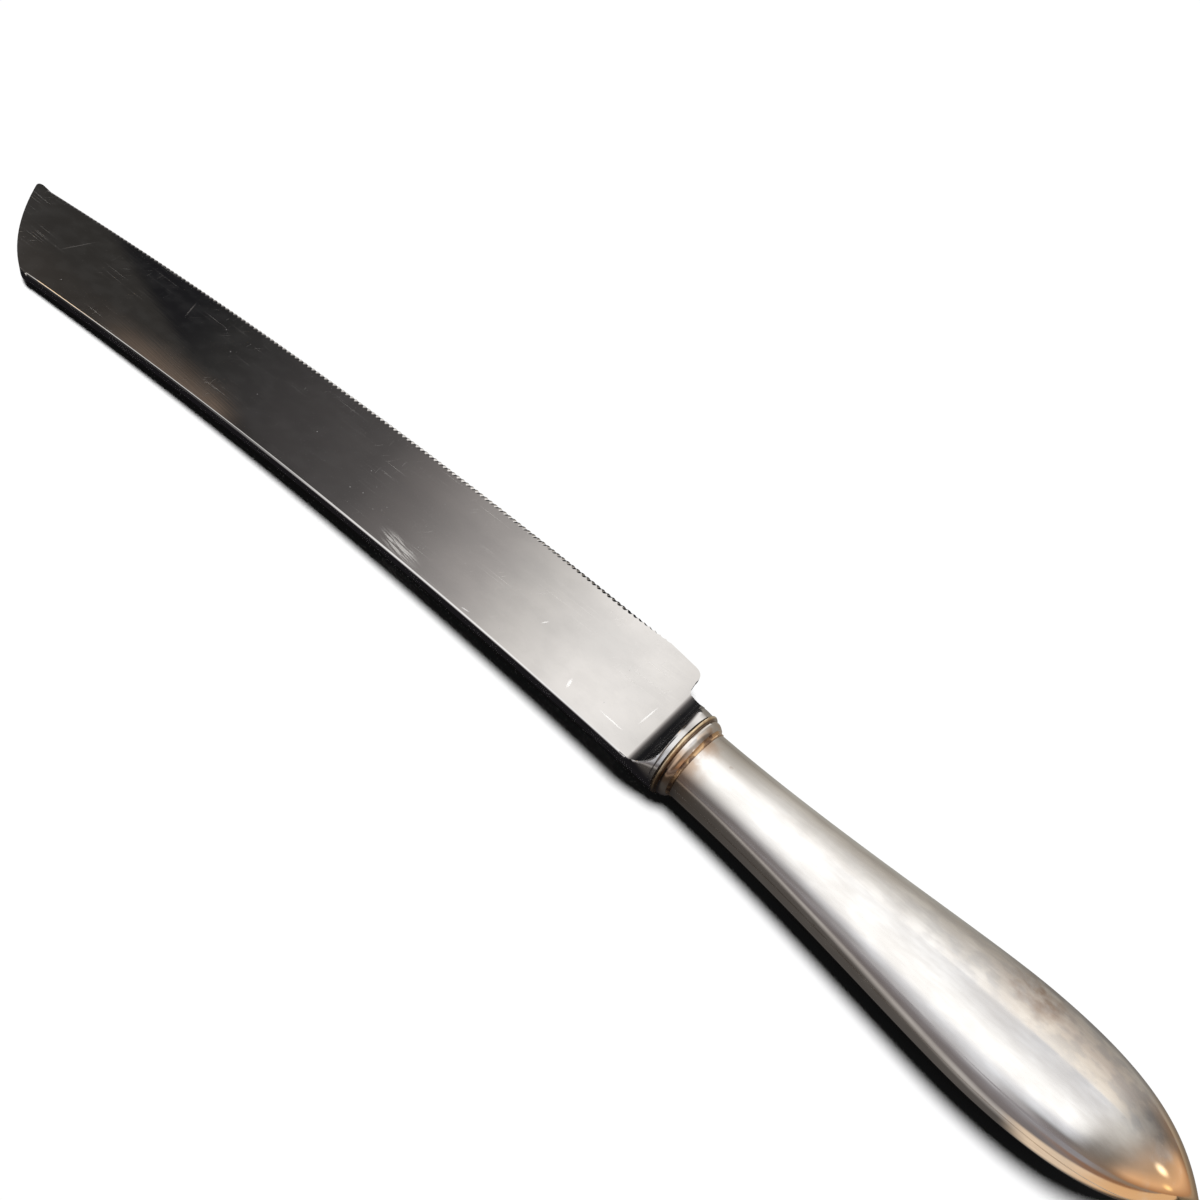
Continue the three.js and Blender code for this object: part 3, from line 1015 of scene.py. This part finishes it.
def room_walls(shader, x, y, z):
    """White above, grey behind, cream behind the handle, and darker in front and on the right."""
    by_handle = shader.times(shader.ramp(x, -0.16, 0.0), shader.ramp(x, 0.45, 0.2))
    front = shader.blend(by_handle, shader.colours(z, wall_in_front), shader.colours(z, lit_wall_in_front))
    room = shader.blend(shader.ramp(y, -0.25, 0.3), front, shader.colours(z, wall_behind))
    overhead = shader.times(shader.ramp(y, -0.6, 0.05), shader.ramp(y, 0.3, 0.25))
    overhead = shader.times(overhead, shader.ramp(x, -0.2, 0.18))
    room = shader.blend(overhead, room, ceiling_grey)
    on_cream = shader.times(shader.ramp(y, 0.25, 0.3), shader.ramp(x, 0.0, 0.25))
    room = shader.blend(on_cream, room, shader.colours(z, cream_wall))
    dim_front = shader.times(shader.ramp(x, -0.08, -0.18), shader.ramp(y, -0.45, -0.8))
    room = shader.blend(dim_front, room, shader.blend(shader.ramp(z, 0.18, 0.76), dim_low, dim_high))
    room = shader.blend(shader.ramp(x, 0.45, 0.62), room, shader.colours(z, wall_on_right))
    room = shader.blend(shader.ramp(x, 0.7, 0.86), room, shader.colours(z, gold_corner))
    past_point = shader.times(shader.ramp(x, -0.5, -0.65), shader.ramp(y, 0.0, -0.2))
    return shader.blend(past_point, room, dark_past_point)


def dark_doorway(shader, x, y):
    """The dark that the blade mirrors, with a slanted jamb and a brown ember by the spine."""
    doorway = shader.colours(shader.even_ramp(x, -1.0, 0.0), doorway_greys)
    from_jamb = shader.minus(y, shader.times(x, jamb_slope))
    jamb = shader.times(shader.ramp(from_jamb, 0.7195, 0.713), shader.ramp(x, -0.5, -0.6))
    doorway = shader.blend(jamb, doorway, jamb_brown)
    from_spine = shader.minus(y, shader.times(x, ember_slope))
    ember = shader.times(shader.ramp(from_spine, 0.99, 0.97), shader.ramp(x, -0.69, -0.72))
    ember = shader.times(ember, shader.ramp(x, -0.8, -0.755, 0.05, 1.0))
    return shader.blend(ember, doorway, ember_brown)


def reflection_tent():
    """A tent that only the metal sees, with the light and dark places of a room."""
    bm = bmesh.new()
    bmesh.ops.create_uvsphere(bm, u_segments=48, v_segments=24, radius=tent_radius)
    tent, shader = stage_piece(bm, "reflection_tent")
    for_metal_only(tent)
    place = shader.node("ShaderNodeTexCoord").outputs["Object"]
    toward = shader.node("ShaderNodeVectorMath", {0: place}, operation="NORMALIZE").outputs["Vector"]
    x, y, z = shader.axes(toward)
    in_doorway = shader.times(shader.ramp(y, 0.1, 0.3), shader.ramp(x, -0.15, -0.3))
    colour = shader.blend(in_doorway, room_walls(shader, x, y, z), dark_doorway(shader, x, y))
    colour = shader.blend(shader.near(toward, *end_wall), colour, end_wall_grey)
    in_flame = shader.times(shader.near(toward, *flame), shader.ramp(x, -0.768, -0.782))
    colour = shader.blend(in_flame, colour, flame_orange)
    colour = shader.blend(shader.near(toward, *window), colour, window_white)
    colour = shader.blend(shader.near(toward, *spark), colour, spark_gold)
    glow_for_metal(shader, colour, tent_white)


def table_front(shader, past_ring, in_front):
    """Shadow by the knife, then a lit strip that comes closer towards the butt, then brown."""
    on_blade = shader.math("MINIMUM", past_ring, 0.0)
    bow = shader.math("DIVIDE", shader.times(on_blade, on_blade), 2 * bow_radius)
    closer = shader.plus(shader.times(shader.most(past_ring, 0.0), lit_strip_lean), 1.0)
    strip = shader.times(shader.minus(in_front, bow), closer)
    front = shader.colours(shader.math("DIVIDE", strip, 4 * lit_strip_at), table_in_front)
    far_light = shader.times(
        shader.ramp(past_ring, 35 * MM, 75 * MM),
        shader.ramp(past_ring, 125 * MM, 95 * MM),
        shader.ramp(in_front, 70 * MM, 180 * MM),
    )
    front = shader.blend(far_light, front, far_light_grey)
    # Painted shadow of the knife on the table along the blade, up to the neck.
    by_neck = shader.plus(past_ring, shader.times(in_front, 0.2))
    front = shader.blend(shader.ramp(by_neck, 1 * MM, 7 * MM), blade_side_shadow, front)
    warm = shader.times(
        shader.ramp(past_ring, 82 * MM, 106 * MM),
        shader.ramp(in_front, 19 * MM, 23 * MM),
        shader.ramp(in_front, 75 * MM, 45 * MM),
    )
    return shader.blend(warm, front, warm_table)


def table_behind(shader, place, past_ring, in_front):
    """Grey behind the handle, shaded towards the butt, dark behind the blade, and with a painted shadow
    under its heel.
    """
    behind = shader.blend(shader.ramp(past_ring, 40 * MM, 80 * MM), grey_behind, shade_behind)
    behind = shader.blend(shader.ramp(in_front, -15 * MM, -120 * MM), behind, far_behind)
    by_far = shader.minus(past_ring, shader.times(in_front, 0.25))
    behind = shader.blend(shader.ramp(by_far, -16 * MM, -3 * MM), dark_behind, behind)
    # Painted shadow of the heel on the table.
    return shader.blend(shader.near(place, *heel_shadow_spot), behind, heel_shadow_dark)


def table_card():
    """The table as the metal sees it, with a painted lit cream place by the butt and dark past the point.
    """
    bm = bmesh.new()
    bmesh.ops.create_grid(bm, x_segments=1, y_segments=1, size=tent_radius)
    bmesh.ops.translate(bm, verts=bm.verts, vec=(0, 0, card_lift))
    card, shader = stage_piece(bm, "table_card")
    for_metal_only(card)
    place = shader.node("ShaderNodeTexCoord").outputs["Object"]
    side = shader.axes(place)
    past_ring = shader.minus(side["X"], ring_centre.x)
    in_front = shader.minus(ring_centre.y, side["Y"])
    front = table_front(shader, past_ring, in_front)
    behind = table_behind(shader, place, past_ring, in_front)
    colour = shader.blend(shader.ramp(in_front, 2 * MM, -4 * MM), front, behind)
    beyond = shader.minus(in_front, shader.times(past_ring, 0.2))
    # Painted light: the cream table lit by the butt, where the knife's shadow recedes.
    cream = shader.times(
        shader.ramp(past_ring, 71 * MM, 78 * MM),
        shader.ramp(beyond, 12 * MM, 6 * MM),
        shader.ramp(in_front, 6 * MM, 11 * MM),
    )
    colour = shader.blend(cream, colour, lit_cream_by_butt)
    colour = shader.blend(shader.ramp(past_ring, -220 * MM, -260 * MM), colour, dark_past_point)
    glow_for_metal(shader, colour, card_white)


def soft_lamp():
    lamp = bpy.data.lights.new("soft_lamp", "SUN")
    lamp.energy = lamp_strength
    lamp.angle = lamp_spread
    stand = bpy.data.objects.new("soft_lamp", lamp)
    stand.visible_glossy = False
    stand.rotation_euler = (lamp_tilt, 0, 0)
    bpy.context.scene.collection.objects.link(stand)


def white_world():
    world = bpy.data.worlds.new("white_world")
    bpy.context.scene.world = world
    world.use_nodes = True
    world.node_tree.nodes.clear()
    shader = Shader(world.node_tree)
    path = shader.node("ShaderNodeLightPath").outputs
    seen = shader.most(path["Is Camera Ray"], path["Is Glossy Ray"], path["Is Transmission Ray"])
    fill = shader.node("ShaderNodeBackground", {"Color": full_white, "Strength": fill_strength}).outputs[0]
    white = shader.node("ShaderNodeBackground", {"Color": full_white, "Strength": 1.0}).outputs[0]
    mixed = shader.node("ShaderNodeMixShader", {0: seen, 1: fill, 2: white})
    shader.node("ShaderNodeOutputWorld", {"Surface": mixed.outputs[0]})


# Camera, measured from the ring
camera_at = ring_centre + Vector((29.52, -104.45, 136.45)) * MM
camera_aim = ring_centre + Vector((-36.85, 20.89, -8.24)) * MM
camera_roll = math.radians(20.55)
camera_lens = 30.0
camera_sensor = 36
camera_near = 0.01
camera_far = 50


def photo_camera():
    camera = bpy.data.cameras.new("photo_camera")
    camera.lens = camera_lens
    camera.sensor_width = camera_sensor
    camera.clip_start = camera_near
    camera.clip_end = camera_far
    stand = bpy.data.objects.new("photo_camera", camera)
    look = (camera_aim - camera_at).to_track_quat("-Z", "Y").to_matrix().to_4x4()
    stand.matrix_world = Matrix.Translation(camera_at) @ look @ Matrix.Rotation(camera_roll, 4, "Z")
    bpy.context.scene.collection.objects.link(stand)
    bpy.context.scene.camera = stand


steel = polished_steel(wear_marks())
dullness = tarnish()
silver = tarnished_silver(dullness)
solder = solder_gold()
seam = seam_silver(dullness)
photo_camera()
blade_leaf(steel)
bolster_block(steel)
ring_band(ring_brass())
collar_band(silver)
solder_fillet(solder)
half_shell("shell_upper", "handle_shell_upper", 1, silver)
half_shell("shell_lower", "handle_shell_lower", -1, silver)
seam_strip("seam_edge", "seam_solder_edge", 1, seam)
seam_strip("seam_spine", "seam_solder_spine", -1, seam)
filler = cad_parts["handle_filler"]
filler.data.materials.clear()
filler.data.materials.append(cutlers_cement())
pale_floor()
reflection_tent()
table_card()
soft_lamp()
white_world()
bpy.context.scene.view_settings.view_transform = "Standard"
